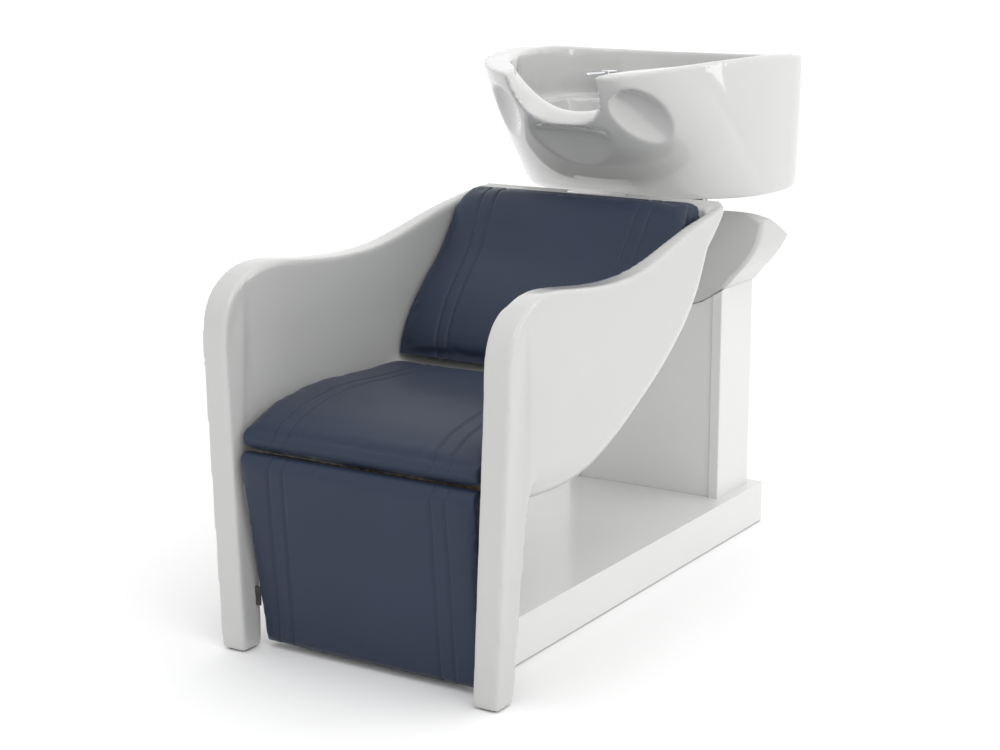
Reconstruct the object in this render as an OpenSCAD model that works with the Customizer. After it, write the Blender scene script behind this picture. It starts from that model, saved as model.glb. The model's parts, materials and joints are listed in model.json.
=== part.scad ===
// Shampoo backwash unit: an upholstered bucket chair joined by a low plinth
// to a column that carries a tilting ceramic neck basin.
// Millimetres. X is to the sitter's left, +Y runs from the chair's front to the basin, +Z is up.

/* [Overall] */
// Outer half width of the arms
arm_half_w = 305; // [280:1:340]
// Outer half width of the front legs at the floor
leg_half_w = 283; // [260:1:310]
// Height at which the splayed legs reach the full arm width
splay_top_z = 526; // [400:1:560]
// Depth from the legs' front to the basin's back
overall_depth = 1274; // [1200:1:1350]

/* [Chair shell] */
// Width of the arm band at the front
arm_band_front = 50; // [35:1:65]
// Width of the arm band where it meets the back
arm_band_rear = 28; // [20:1:45]
// Depth of a front leg
leg_depth = 72; // [50:1:90]
// Skin thickness of the moulding
shell_skin = 7; // [4:0.5:10]
// Radius of the shell's rear corners in plan
back_corner_r = 44; // [40:1:60]
// How far the shell tapers in towards the back, each side
shell_taper = 28; // [0:1:50]

/* [Upholstery] */
// Half width of the seat cushion
seat_half_w = 240; // [200:1:250]
// Half width of the back cushion
back_half_w = 245; // [200:1:255]
// Thickness of the front panel pad
panel_t = 36; // [25:1:60]
// Thickness of the plywood boards
board_t = 10; // [6:1:15]

/* [Plinth and column] */
// Half width of the plinth
plinth_half_w = 198.5; // [150:0.5:260]
// Height of the plinth
plinth_h = 86; // [60:1:120]
// Front end of the plinth
plinth_front = 100; // [60:1:200]
// Rear end of the plinth
plinth_rear = 1199; // [1100:1:1300]
// Half width of the column
column_half_w = 174; // [140:1:200]
// Front face of the column
column_front = 1029; // [950:1:1080]
// Rear face of the column
column_rear = 1174; // [1100:1:1190]
// Thickness of the column's side cheeks
cheek_t = 22; // [12:1:30]
// Depth of the square steel tube
tube = 40; // [30:5:50]
// Wall of the steel tube
tube_wall = 2; // [1.5:0.5:4]

/* [Basin] */
// Half width of the basin
basin_a = 272; // [240:1:300]
// Half depth of the basin in front of its centre
basin_b_front = 473; // [380:1:500]
// Half depth of the basin behind its centre
basin_b_rear = 183; // [150:1:220]
// Height of the basin's underside
basin_bottom = 727; // [680:1:760]
// Height of the rim beside the basin's centre
rim_z = 988.7; // [940:0.1:1020]
// Wall thickness of the basin
basin_wall = 14; // [10:1:20]
// Radius of the neck recess
neck_r = 140; // [90:1:160]
// Height of the neck lip at its middle
neck_lip_z = 896; // [860:1:930]
// Radius of the waste hole
waste_r = 26; // [24:1:30]
// Height of the tap deck inside the basin
deck_z = 880; // [874:1:890]

/* [Tilt and tap] */
// Height of the tilt axis
tilt_z = 700; // [690:1:710]
// Radius of the tilt pins
tilt_pin_r = 8; // [6:0.5:10]
// Radial running clearance of pins and stems
run_c = 0.05; // [0.01:0.01:0.1]
// Tap position across the deck
tap_x = -170; // [-185:1:-150]
// Tap position along the unit
tap_y = 1176; // [1174:1:1186]
// Radius of the tap body
tap_r = 19; // [15:0.5:22]
// Spray position across the deck
spray_x = 120; // [60:1:140]
// Spray position along the unit
spray_y = 1195; // [1188:1:1202]

/* [Hidden] */
eps = 0.01;
mid_y = overall_depth / 2;
basin_cy = overall_depth - basin_b_rear;
basin_e = 2.33;
basin_e_rear = 2.8;
skirt = 10;
tilt_y = basin_cy;
deck_under = deck_z - 20;
cap_z = deck_z + 44;
pin_z = cap_z + 5;
lever_turn = -13;
shell_floor_z = 327.5;
seat_board_top = 358;
seat_board_t = board_t + 6;
white = [0.93, 0.93, 0.92];
navy = [0.19, 0.23, 0.33];
steel = [0.55, 0.56, 0.58];
chrome = [0.82, 0.83, 0.85];
black = [0.08, 0.08, 0.09];
timber = [0.72, 0.58, 0.40];

// ---------- shape functions ----------
function mix(a, b, t) = a + (b - a) * t;
function clamp01(t) = max(0, min(1, t));
// Catmull-Rom point at parameter u (0 to 1) along a list of points
function cr(p, u) =
  let (n = len(p) - 1, s = min(u * n, n - 1e-6), i = floor(s), t = s - i,
       a = p[max(i - 1, 0)], b = p[i], c = p[i + 1], d = p[min(i + 2, n)])
  0.5 * (2 * b + (c - a) * t + (2 * a - 5 * b + 4 * c - d) * t * t
    + (3 * b - a - 3 * c + d) * t * t * t);
function unit(v) = v / norm(v);
// Left-hand normal of a curve in the YZ plane
function side_of(p, u) =
  let (d = unit(cr(p, min(u + 0.01, 1)) - cr(p, max(u - 0.01, 0)))) [-d[1], d[0]];
// Curve moved sideways by an amount that runs from t0 to t1
function moved(p, t0, t1, u0, u1, n) =
  [for (i = [0:n]) let (u = mix(u0, u1, i / n)) cr(p, u) + side_of(p, u) * mix(t0, t1, u)];

// Closed loft through rings of equal length, with flat caps
module loft(rings) {
  n = len(rings[0]);
  m = len(rings);
  pts = [for (r = rings) for (p = r) p];
  sides = [for (j = [0:m - 2]) for (i = [0:n - 1])
    each let (a = j * n + i, b = j * n + (i + 1) % n, c = a + n, d = b + n)
      [[a, b, d], [a, d, c]]];
  cap0 = [[for (i = [n - 1:-1:0]) i]];
  cap1 = [[for (i = [0:n - 1]) (m - 1) * n + i]];
  polyhedron(points = pts, faces = concat(cap0, sides, cap1), convexity = 10);
}

// Extrudes a [y, z] outline from x0 to x1
module side_slab(outline, x0, x1)
  translate([x0, 0, 0])
    rotate([90, 0, 90])
      linear_extrude(x1 - x0)
        polygon(outline);

// Extrudes an [x, z] outline from y0 to y1
module front_slab(outline, y0, y1)
  translate([0, y1, 0])
    rotate([90, 0, 0])
      linear_extrude(y1 - y0)
        polygon(outline);

module both_sides() {
  children();
  mirror([1, 0, 0]) children();
}

module box(x0, x1, y0, y1, z0, z1)
  translate([x0, y0, z0])
    cube([x1 - x0, y1 - y0, z1 - z0]);

// Square tube along an axis: 0 is X, 1 is Y, 2 is Z
module square_tube(size, length, axis, wall) {
  turn = axis == 0 ? [0, 90, 0] : axis == 1 ? [-90, 0, 0] : [0, 0, 0];
  rotate(turn)
    difference() {
      translate([-size / 2, -size / 2, 0]) cube([size, size, length]);
      translate([-size / 2 + wall, -size / 2 + wall, -1])
        cube([size - 2 * wall, size - 2 * wall, length + 2]);
    }
}

// Hexagon-head screw pointing down from the origin
module hex_screw(r, length, head_r, head_h) {
  translate([0, 0, -length]) cylinder(r = r, h = length + head_h / 2, $fn = 32);
  cylinder(r = head_r, h = head_h, $fn = 6);
}

module placed() translate([0, -mid_y, 0]) children();

// ---------- chair shell ----------
// Underside of the bucket, front to back, as [y, z]
under = [[72, 330], [110, 321], [170, 315], [235, 313], [310, 322], [393, 347],
  [477, 385], [563, 429], [625, 468], [680, 510], [725, 556], [762, 614],
  [790, 664], [813, 704], [828, 722]];
// Top line of the arms, from behind the leg's rounded corner to the back rim
arm_top = [[60, 655], [95, 666], [130, 669], [170, 667], [230, 660], [300, 653],
  [370, 650], [440, 652], [510, 662], [590, 680], [670, 698], [750, 712],
  [800, 720], [836, 729]];
// Leg and arm corner seen from the side
leg_outline = [[3, 2], [0, 8], [0, 560], [3, 585], [11, 608], [24, 628], [40, 643], [60, 655],
  [95, 666], [130, 669], [150, 640], [150, 440], [120, 412], [leg_depth + 12, 398],
  [leg_depth + 2, 345], [leg_depth, 300], [leg_depth - 16, 60], [leg_depth - 21, 8],
  [leg_depth - 24, 2]];

function back_corner(y) = let (t = clamp01((y - 798) / back_corner_r)) back_corner_r * (1 - sqrt(1 - t * t));
function half_w(y, z) = mix(leg_half_w, arm_half_w, clamp01(z / splay_top_z))
  - shell_taper * pow(clamp01((y - 150) / 690), 1.5) - back_corner(y);
function band(y) = mix(arm_band_front, arm_band_rear, clamp01((y - 150) / 600));

// One U-shaped ring of the bucket: b is the bottom point, t the top point
function bucket_ring(b, t, inset, r0, edge) =
  let (h = norm(t - b), d = unit(t - b), r = min(r0, 0.62 * h),
       e = min(edge, 0.3 * h),
       right = concat(
         [for (a = [-90:15:0]) [-r + r * cos(a), r + r * sin(a)]],
         [[0, max(r + eps, h - e)], [-0.3 * e, h - 0.3 * e], [-e, h]]),
       pos = [for (q = right) let (p = b + d * q[1])
         [half_w(p[0], p[1]) - inset(p[0]) + q[0], p[0], p[1]]],
       n = len(pos))
  concat(pos, [for (i = [n - 1:-1:0]) [-pos[i][0], pos[i][1], pos[i][2]]]);

module bucket_outer() {
  steps = 34;
  loft([for (i = [0:steps]) let (u = i / steps)
    bucket_ring(cr(under, u), cr(arm_top, u), function (y) 0, 64, 14)]);
}

module bucket_inner() {
  steps = 30;
  loft([for (i = [-1:steps])
    let (u = max(i, 0) / steps, ahead = i < 0 ? [-50, 0] : [0, 0],
         b = cr(under, u) + side_of(under, u) * mix(12, 24, u * u) + ahead,
         t = cr(arm_top, u) + [-26 * u, mix(60, 50, u)] + ahead)
    bucket_ring(b, t, function (y) band(y), 22, 0)]);
}

module leg_side()
  intersection() {
    side_slab(leg_outline, 200, 320);
    front_slab([[leg_half_w - 49, -1], [leg_half_w, -1], [arm_half_w, splay_top_z],
      [arm_half_w, 655], [arm_half_w - 14, 671], [arm_half_w - 38, 671],
      [arm_half_w - arm_band_front, 655], [arm_half_w - arm_band_front, splay_top_z]], -1, 160);
  }

// Hollow inside the arm and leg, open at the leg's foot
module arm_core()
  intersection() {
    side_slab([[shell_skin + 2, -2], [shell_skin, 556], [30, 616], [70, 645], [130, 655],
      [300, 640], [440, 638], [600, 668], [690, 687], [690, 640], [600, 545], [480, 470],
      [330, 412], [160, 404], [100, 410], [68, 370], [leg_depth - shell_skin - 1, 300],
      [leg_depth - 30, -2]], 200, 320);
    front_slab([[leg_half_w - 49 + shell_skin, -2], [leg_half_w - shell_skin, -2],
      [arm_half_w - 30, splay_top_z], [arm_half_w - 30, 700],
      [arm_half_w - arm_band_front + shell_skin, 700],
      [arm_half_w - arm_band_front + shell_skin, splay_top_z]], -1, 700);
  }

module seat_shell()
  color(white)
    difference() {
      resize([2 * arm_half_w, 0, 0])
        difference() {
          union() {
            bucket_outer();
            both_sides() leg_side();
          }
          bucket_inner();
          both_sides() arm_core();
        }
      for (x = [-120, 120], y = [165, 235])
        translate([x, y, 300]) cylinder(r = 5.2, h = 60, $fn = 32);
    }

module leg_glides()
  color(black)
    both_sides()
      translate([leg_half_w - 24.5, 26, 0])
        linear_extrude(1.9)
          square([30, 30], center = true);

module shell_bolts()
  color(steel)
    for (x = [-120, 120], y = [165, 235])
      translate([x, y, shell_floor_z + 2])
        hex_screw(5, shell_floor_z + 2 - 288, 8.5, 6);

// ---------- upholstery ----------
seat_top = [[8, 384], [14, 398], [40, 409], [80, 424], [124, 433], [180, 440],
  [235, 441], [300, 437], [370, 434], [430, 434], [476, 434]];
back_face = [[500, 445], [512, 480], [530, 510], [556, 543], [592, 577], [638, 617],
  [668, 653], [694, 690], [716, 716], [740, 733], [762, 737]];

module seat_cushion()
  color(navy)
    side_slab(concat(seat_top, [[478, 409], [440, 392], [385, 372], [330, 362],
      [270, 358.5], [60, 358.5], [20, 366]]), -seat_half_w, seat_half_w);

module seat_board()
  color(timber)
    difference() {
      box(-seat_half_w + 14, seat_half_w - 14, 58, 318, seat_board_top - seat_board_t, seat_board_top);
      for (x = [-120, 120], y = [165, 235])
        translate([x, y, 340]) cylinder(r = 12, h = 30, $fn = 32);
    }

module back_cushion()
  color(navy)
    side_slab(concat(back_face, [for (i = [14:-1:0])
      cr(under, mix(0.46, 0.93, i / 14)) + side_of(under, mix(0.46, 0.93, i / 14)) * 36]),
      -back_half_w, back_half_w);

module back_board()
  color(timber)
    side_slab(concat(
      moved(under, 25, 25, 0.50, 0.9, 12),
      [for (i = [12:-1:0]) moved(under, 35, 35, 0.50, 0.9, 12)[i]]),
      -200, 200);

module board_screws()
  color(steel)
    both_sides() {
      for (y = [90, 285])
        translate([205, y, seat_board_top]) {
          cylinder(r = 4, h = 0.4, $fn = 32);
          translate([0, 0, -seat_board_t - 3]) cylinder(r = 1.9, h = seat_board_t + 3.1, $fn = 24);
        }
    }

function panel_back(z, off) = 52 + off - (z - 8) * 50 / 340;

module front_panel()
  color(navy)
    intersection() {
      side_slab([[54, 8], [panel_back(345, 0), 345], [5, 356], [14, 362], [30, 362],
        [panel_back(350, panel_t), 350], [panel_back(8, panel_t), 8]], -260, 260);
      front_slab([[-228, 0], [228, 0], [238, 340], [234, 357], [226, 370],
        [-226, 370], [-234, 357], [-238, 340]], -10, 120);
    }

module front_board()
  color(timber)
    side_slab([[panel_back(32, panel_t + 0.2), 32], [panel_back(338, panel_t + 0.2), 338],
      [panel_back(338, panel_t + board_t), 338],
      [panel_back(32, panel_t + board_t), 32]], -214, 214);

module panel_brackets()
  color(steel)
    both_sides()
      for (z = [130, 270])
        let (o = panel_t + board_t + 0.2)
        side_slab([[panel_back(z, o), z], [120, z], [120, z + 34], [116, z + 34],
          [116, z + 4], [panel_back(z + 4, o + 3), z + 4], [panel_back(z + 30, o + 3), z + 30],
          [panel_back(z + 30, o), z + 30]], 85, 115);

module label_tag()
  color(black)
    translate([-232.6, panel_back(95, 0) + 3, 78])
      cube([2, 16, 34]);

// ---------- plinth and frame ----------
function rounded_rect(x0, x1, y0, y1, r) =
  [for (c = [[x1 - r, y1 - r, 0], [x0 + r, y1 - r, 90], [x0 + r, y0 + r, 180], [x1 - r, y0 + r, 270]])
    for (a = [0:15:90]) [c[0] + r * cos(c[2] + a), c[1] + r * sin(c[2] + a)]];

cover_t = 4;
rail_x = 140;
rail_top = plinth_h - cover_t;
post_y = 1100;
post_x = 128;
head_z = 560;

module plinth_cover()
  color(white)
    difference() {
      translate([0, 0, 3])
        linear_extrude(plinth_h - 3)
          polygon(rounded_rect(-plinth_half_w, plinth_half_w, plinth_front, plinth_rear, 5));
      box(-plinth_half_w + cover_t, plinth_half_w - cover_t, plinth_front + cover_t,
        plinth_rear - cover_t, 0, rail_top);
      both_sides() {
        box(79, 121, 119, 161, 0, 100);
        box(post_x - 21, post_x + 21, post_y - 21, post_y + 21, 0, 100);
      }
      box(-70, 70, 1060, 1130, 0, 100);
    }

module base_rails()
  color(steel)
    both_sides()
      difference() {
        translate([rail_x, plinth_front + 6, rail_top - tube / 2])
          square_tube(tube, plinth_rear - plinth_front - 12, 1, tube_wall);
        for (y = [150, 640, 1150])
          translate([rail_x, y, rail_top - tube - 1]) cylinder(r = 5.2, h = 6, $fn = 32);
      }

module base_crossbars()
  color(steel)
    for (y = [140, 430, 760, 1010, 1172])
      translate([-rail_x + tube / 2, y, rail_top - tube / 2])
        square_tube(y > 1100 ? 30 : tube, 2 * rail_x - tube, 0, tube_wall);

module anchor_plates()
  color(steel)
    both_sides()
      for (y = [300, 900])
        difference() {
          box(70, 119.9, y - 30, y + 30, 44, 50);
          translate([95, y, 40]) cylinder(r = 6, h = 20, $fn = 48);
        }

module levelling_feet()
  color(black)
    both_sides()
      for (y = [150, 640, 1150])
        translate([rail_x, y, 0]) {
          cylinder(r = 20, h = 7, $fn = 48);
          cylinder(r = 5, h = 56, $fn = 32);
          translate([0, 0, 30]) cylinder(r = 9, h = 8, $fn = 6);
        }

module pedestal_posts()
  color(steel)
    both_sides()
      translate([100, 140, rail_top])
        square_tube(tube, 304.5 - rail_top, 2, tube_wall);

module pedestal_plate()
  color(steel)
    difference() {
      box(-140, 140, 110, 262, 304.5, 312.2);
      for (x = [-120, 120], y = [165, 235])
        translate([x, y, 290]) cylinder(r = 5, h = 40, $fn = 32);
    }

// ---------- column ----------
// Outline of the half-round housing on the column, right half
drum = [[0, 466], [45, 469], [85, 477], [127, 492], [172, 519], [195, 545], [215, 567],
  [232, 590], [243, 608], [251, 628], [256, 648], [258, 666], [204, 681]];
function drum_outline(k) =
  let (n = len(drum), p = [for (q = drum) [q[0] * (1 - k / 250), 590 + (q[1] - 590) * (1 - k / 105)]])
  concat(p, [for (i = [n - 1:-1:1]) [-p[i][0], p[i][1]]]);
function roof_z(y) = 681 - 0.42 * (y - column_front);
module above_roof(drop, x = 320)
  side_slab([[column_front - 20, roof_z(column_front - 20) - drop],
    [column_rear + 20, roof_z(column_rear + 20) - drop],
    [column_rear + 20, 760], [column_front - 20, 760]], -x, x);

module column_cheek()
  color(white)
    difference() {
      translate([0, 0, plinth_h])
        linear_extrude(500)
          polygon(rounded_rect(column_half_w - cheek_t, column_half_w, column_front, column_rear, 3));
      front_slab(drum_outline(-0.4), column_front - 5, column_rear + 5);
      box(100, 200, 1000, 1200, 570, 700);
    }
module column_cheek_left() mirror([1, 0, 0]) column_cheek();
module column_cheek_right() column_cheek();

module column_panel(y0, y1)
  difference() {
    box(-column_half_w + cheek_t, column_half_w - cheek_t, y0, y1, plinth_h, 520);
    front_slab(drum_outline(-0.4), 1000, 1200);
  }
module column_front_panel() color(white) column_panel(column_front + 5, column_front + 11);
module column_rear_panel()
  color(white)
    difference() {
      column_panel(column_rear - 10, column_rear - 4);
      for (x = [-135, 135], z = [110, 440])
        translate([x, 1180, z]) rotate([90, 0, 0]) cylinder(r = 2.6, h = 30, $fn = 32);
    }

module column_screws()
  color(steel)
    for (x = [-135, 135], z = [110, 440])
      translate([x, column_rear - 4, z])
        rotate([90, 0, 0]) {
          translate([0, 0, -2.4]) cylinder(r = 5, h = 2.4, $fn = 32);
          translate([0, 0, -1]) cylinder(r = 2.5, h = 22, $fn = 32);
        }

module column_posts()
  color(steel)
    both_sides()
      translate([post_x, post_y, rail_top])
        square_tube(tube, head_z - rail_top, 2, tube_wall);

module tilt_housing()
  color(white)
    difference() {
      front_slab(drum_outline(0), column_front, column_rear);
      above_roof(0);
      intersection() {
        front_slab(drum_outline(4), column_front + 4, column_rear - 4);
        difference() {
          box(-300, 300, 1000, 1200, 400, 800);
          above_roof(4);
        }
      }
      both_sides()
        box(post_x - 22, post_x + 22, post_y - 22, post_y + 22, 400, 560);
      box(-72, 72, 1058, 1140, 400, 520);
      // Opening under the lid
      box(-198, 198, column_front + 12, column_rear - 12, 600, 760);
      intersection() {
        box(-201, 201, column_front + 4, column_rear - 4, 600, 760);
        above_roof(4);
      }
    }

module housing_lid()
  color(white)
    difference() {
      intersection() {
        box(-197, 197, column_front + 6, column_rear - 6, 560, 760);
        above_roof(3.8);
        difference() {
          box(-300, 300, 1000, 1200, 400, 800);
          above_roof(-0.4);
        }
      }
      both_sides() box(80, 112, 1056, 1126, 560, 760);
      translate([0, tilt_y, 560]) cylinder(r = 42, h = 200, $fn = 64);
    }

module tilt_head()
  color(steel)
    difference() {
      box(-148, 148, 1060, 1125, head_z, head_z + 8);
      translate([0, tilt_y, head_z - 10]) cylinder(r = 30, h = 30, $fn = 48);
      for (x = [-60, 60])
        translate([x, 1090, head_z - 10]) cylinder(r = 11.5, h = 30, $fn = 48);
    }

module tilt_ears()
  color(steel)
    both_sides()
      difference() {
        union() {
          box(86, 94, tilt_y - 25, tilt_y + 25, head_z + 8, tilt_z - 4);
          translate([86, tilt_y, tilt_z]) rotate([0, 90, 0]) cylinder(r = 16, h = 8, $fn = 48);
        }
        translate([80, tilt_y, tilt_z]) rotate([0, 90, 0]) cylinder(r = 11, h = 20, $fn = 48);
      }

module tilt_bushes()
  color([0.72, 0.53, 0.26])
    both_sides()
      translate([85.4, tilt_y, tilt_z])
        rotate([0, 90, 0])
          difference() {
            cylinder(r = 11, h = 9.2, $fn = 48);
            translate([0, 0, -1]) cylinder(r = tilt_pin_r + run_c, h = 12, $fn = 48);
          }

module tilt_pins()
  color(steel)
    both_sides()
      translate([72, tilt_y, tilt_z])
        rotate([0, 90, 0]) {
          cylinder(r = tilt_pin_r, h = 24, $fn = 48);
          translate([0, 0, 23.5]) cylinder(r = 13, h = 5, $fn = 48);
        }

module basin_cradle()
  color(steel)
    difference() {
      union() {
        box(-130, 130, tilt_y - 85, tilt_y + 85, basin_bottom - 6, basin_bottom);
        both_sides() {
          box(72, 82, tilt_y - 22, tilt_y + 22, tilt_z, basin_bottom - 5);
          translate([72, tilt_y, tilt_z]) rotate([0, 90, 0]) cylinder(r = 15, h = 10, $fn = 48);
        }
      }
      both_sides()
        translate([60, tilt_y, tilt_z]) rotate([0, 90, 0]) cylinder(r = tilt_pin_r, h = 40, $fn = 48);
      translate([0, tilt_y, 700]) cylinder(r = 36, h = 50, $fn = 64);
      for (x = [-112, 112], y = [tilt_y - 65, tilt_y + 65])
        translate([x, y, 700]) cylinder(r = 5.2, h = 50, $fn = 32);
    }

module cradle_bolts()
  color(steel)
    for (x = [-112, 112], y = [tilt_y - 65, tilt_y + 65])
      translate([x, y, basin_bottom - 6])
        mirror([0, 0, 1]) hex_screw(5, 24, 8.5, 6);

// ---------- basin ----------
function sgn_pow(v, p) = sign(v) * pow(abs(v), p);
function rim_at(y) = let (t = (y - basin_cy) / 300) rim_z - 15.4 * t - 19.67 * t * t;
// One ring of the basin in plan: a across, bf to the front, br to the back
function plan_ring(a, bf, br, e, z, n = 48, rear_e = 0) =
  [for (i = [0:n - 1]) let (t = -360 * i / n, k = 2 / (sin(t) > 0 ? max(e, rear_e) : e),
    s = sgn_pow(sin(t), k), y = basin_cy + (s > 0 ? br : bf) * s)
    [a * sgn_pow(cos(t), k), y, z(y)]];
// How far the front wall has leaned out at the fraction f of the height
function lean(f) = 1.4 * f - 0.4 * f * f;
function wall_z(f) = function (y) basin_bottom + (rim_at(y) - basin_bottom) * f;
function shell_ring(f, inset) = plan_ring(mix(262, basin_a, sqrt(f)) - inset,
  mix(240, basin_b_front, lean(f)) - inset, basin_b_rear - inset, basin_e, wall_z(f), rear_e = basin_e_rear);

// Ring of the skirt below the underside, up mm above its edge
function skirt_ring(inset, up) = plan_ring(262 - inset, 240 - skirt - inset, basin_b_rear - inset,
  basin_e, function (y) basin_bottom - skirt + up, rear_e = basin_e_rear);

module basin_outer()
  loft([skirt_ring(10, 0), skirt_ring(3, 4), shell_ring(0, 0), for (f = [0.06:0.15:0.96]) shell_ring(f, 0),
    shell_ring(0.985, 1.5), shell_ring(1, 6)]);

// Underside hollow of the casting
module basin_hollow()
  loft([for (z = [basin_bottom - 20, basin_bottom + 30, basin_bottom + 80, deck_under])
    let (f = max(0, (z - basin_bottom) / 262))
    plan_ring(mix(262, basin_a, sqrt(f)) - basin_wall,
      mix(240, basin_b_front, min(lean(f), 0.2)) - basin_wall - 8,
      basin_b_rear - basin_wall, basin_e, function (y) z, 36)]);

// The bowl and the tap deck behind it. grow makes them larger, for the skin around them
module bowl(grow)
  union() {
    // Each row is z, half width, front, rear, squareness
    loft([for (q = [[757, 120, 150, 44, 2.2], [762, 165, 205, 56, 2.3], [776, 196, 240, 60, 2.35],
        [810, 222, 272, 62, 2.35], [860, 240, 314, 64, 2.4], [900, 248, 342, 66, 2.5],
        [930, 252, 384, 66, 2.5], [962, 257, 426, 67, 2.5], [1040, 262, 444, 67, 2.5]])
      plan_ring(q[1] + grow, q[2] + grow, q[3] + grow, q[4], function (y) q[0] - grow, 40)]);
    loft([for (q = [[deck_z, 246, 300, 158], [deck_z + 12, 252, 330, 166], [1040, 258, 346, 169]])
      plan_ring(q[1] + grow * 0.5, q[2], q[3] + grow * 0.5, 2.4, function (y) q[0] - grow * 1.6, 40)]);
  }

module basin()
  color([0.96, 0.96, 0.95])
    resize([2 * basin_a, 0, 0])
      difference() {
        basin_outer();
        difference() {
          basin_hollow();
          bowl(12);
          translate([0, tilt_y, 700]) cylinder(r = 40, h = 100, $fn = 32);
          for (x = [-112, 112], y = [tilt_y - 65, tilt_y + 65])
            translate([x, y, 700]) cylinder(r = 20, h = 100, $fn = 20);
        }
        // Recess inside the skirt
        intersection() {
          basin_hollow();
          box(-300, 300, 600, 1300, 700, basin_bottom);
        }
        bowl(0);
        // Room for the shoulders below the neck lip
        translate([0, 650, 788]) scale([150, 135, 78]) sphere(r = 1, $fn = 36);
        // Neck recess between the two horns, wider towards the bowl
        hull()
          for (q = [[560, neck_r - 40], [640, neck_r - 22], [765, neck_r + 65]])
            translate([0, q[0], neck_lip_z + q[1]]) rotate([-90, 0, 0]) cylinder(r = q[1], h = 1, $fn = 64);
        translate([0, tilt_y, 700]) cylinder(r = 19.4, h = 80, $fn = 48);
        translate([0, tilt_y, 746.6]) cylinder(r = waste_r, h = 40, $fn = 48);
        for (x = [-112, 112], y = [tilt_y - 65, tilt_y + 65])
          translate([x, y, 700]) cylinder(r = 5.3, h = 46, $fn = 24);
        translate([tap_x, tap_y, 840]) cylinder(r = 14.5, h = 60, $fn = 36);
        translate([spray_x, spray_y, 840]) cylinder(r = 17.6, h = 60, $fn = 36);
      }

// ---------- waste ----------
module waste_flange()
  color(chrome)
    translate([0, tilt_y, 0])
      difference() {
        union() {
          translate([0, 0, 757.1]) cylinder(r1 = 34, r2 = 32, h = 3, $fn = 64);
          translate([0, 0, 747]) cylinder(r = 25.5, h = 11, $fn = 64);
          translate([0, 0, 674]) cylinder(r = 19, h = 75, $fn = 64);
        }
        translate([0, 0, 660]) cylinder(r = 16, h = 120, $fn = 64);
        translate([0, 0, 750]) cylinder(r = 22.5, h = 20, $fn = 64);
      }

module waste_nut()
  color(chrome)
    translate([0, tilt_y, basin_bottom - 7])
      difference() {
        cylinder(r = 30, h = 7, $fn = 6);
        translate([0, 0, -1]) cylinder(r = 19, h = 9, $fn = 64);
      }

module strainer()
  color(chrome)
    translate([0, tilt_y, 0])
      difference() {
        union() {
          translate([0, 0, 750.2]) cylinder(r = 22, h = 3, $fn = 64);
          translate([0, 0, 742]) cylinder(r = 15, h = 8.4, $fn = 48);
          translate([0, 0, 753]) cylinder(r = 4, h = 5, $fn = 32);
        }
        translate([0, 0, 740]) cylinder(r = 12.5, h = 10.4, $fn = 48);
        for (a = [0:60:300])
          rotate(a) translate([8.5, 0, 740]) cylinder(r = 1.8, h = 20, $fn = 24);
      }

module waste_hose()
  color(black)
    translate([0, tilt_y, 0])
      difference() {
        union() {
          translate([0, 0, 655]) cylinder(r = 30, h = 28, $fn = 48);
          translate([0, 0, 400]) cylinder(r = 23, h = 262, $fn = 48);
        }
        translate([0, 0, 661]) cylinder(r = 27, h = 30, $fn = 48);
        translate([0, 0, 390]) cylinder(r = 20, h = 300, $fn = 48);
      }

module waste_pipe()
  color(white)
    translate([0, tilt_y, 0])
      difference() {
        union() {
          translate([0, 0, 8]) cylinder(r = 20, h = 360, $fn = 64);
          translate([0, 0, 360]) cylinder(r = 27, h = 60, $fn = 64);
        }
        translate([0, 0, 0]) cylinder(r = 17.6, h = 380, $fn = 64);
        translate([0, 0, 370]) cylinder(r = 23, h = 60, $fn = 64);
      }

// ---------- tap and spray ----------
module at_tap() translate([tap_x, tap_y, 0]) rotate(lever_turn) children();

module mixer_body()
  color(chrome)
    at_tap()
      difference() {
        union() {
          translate([0, 0, deck_z]) cylinder(r = tap_r + 3, h = 3, $fn = 64);
          translate([0, 0, deck_z]) cylinder(r = tap_r, h = 36, $fn = 64);
          translate([0, 0, 842]) cylinder(r = 14, h = 50, $fn = 48);
        }
        translate([0, 0, deck_z + 12]) cylinder(r = 8 + run_c, h = 30, $fn = 48);
        for (x = [-6.5, 6.5])
          translate([x, 0, 830]) cylinder(r = 3, h = 60, $fn = 24);
      }

module mixer_nut()
  color(chrome)
    at_tap()
      translate([0, 0, deck_under - 9])
        difference() {
          cylinder(r = 18, h = 9, $fn = 6);
          translate([0, 0, -1]) cylinder(r = 14, h = 12, $fn = 48);
        }

module mixer_turret()
  color(chrome)
    at_tap()
      difference() {
        union() {
          translate([0, 0, deck_z + 13]) cylinder(r = 8, h = 26, $fn = 48);
          translate([0, 0, deck_z + 36.4]) cylinder(r = 11, h = 5, $fn = 48);
          box(-3, 3, -3.5, 3.5, deck_z + 38, pin_z + 3.5);
        }
        translate([-10, 0, pin_z]) rotate([0, 90, 0]) cylinder(r = 1.5 + run_c, h = 20, $fn = 32);
      }

module mixer_cap()
  color(chrome)
    at_tap()
      difference() {
        union() {
          translate([0, 0, cap_z]) cylinder(r = 20, h = 10, $fn = 64);
          translate([0, 0, cap_z + 9.9]) cylinder(r1 = 20, r2 = 17, h = 2.4, $fn = 64);
        }
        translate([0, 0, cap_z - 1]) cylinder(r = 15, h = 11, $fn = 64);
        translate([-30, 0, pin_z]) rotate([0, 90, 0]) cylinder(r = 1.5, h = 60, $fn = 32);
      }

module mixer_pin()
  color(steel)
    at_tap()
      translate([-19, 0, pin_z]) rotate([0, 90, 0]) cylinder(r = 1.5, h = 38, $fn = 32);

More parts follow.
